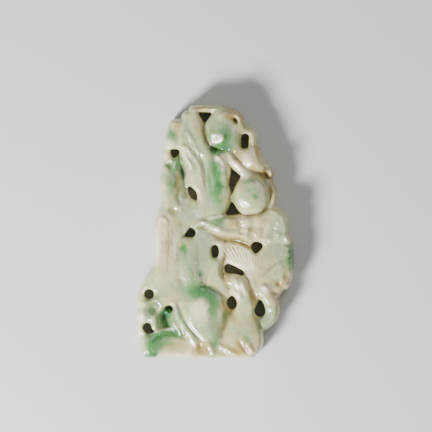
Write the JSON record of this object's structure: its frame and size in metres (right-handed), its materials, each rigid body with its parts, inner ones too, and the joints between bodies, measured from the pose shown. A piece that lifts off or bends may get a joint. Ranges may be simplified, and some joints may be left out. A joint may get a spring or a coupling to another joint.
{
  "type": "jade carving",
  "caption": "Pierced openwork jade plaque carved with trunks, rocks, a round fruit, a cloud, a fan leaf and a gourd, flat plain back and flat foot.",
  "frame": {"origin": "middle of the carving's underside, its flat back, as it lies worked face up", "axes": "+Z out of the worked face, +Y from the flat foot to the carving's top, +X to the right as one looks at the worked face with its top up"},
  "size_m": [0.0558, 0.0886, 0.0128],
  "materials": {
    "jade": "polished, slightly translucent, cream white with green patches and brown in the grooves"
  },
  "bodies": {
    "root": {"jade_carving": "jade"}
  },
  "joints": []
}
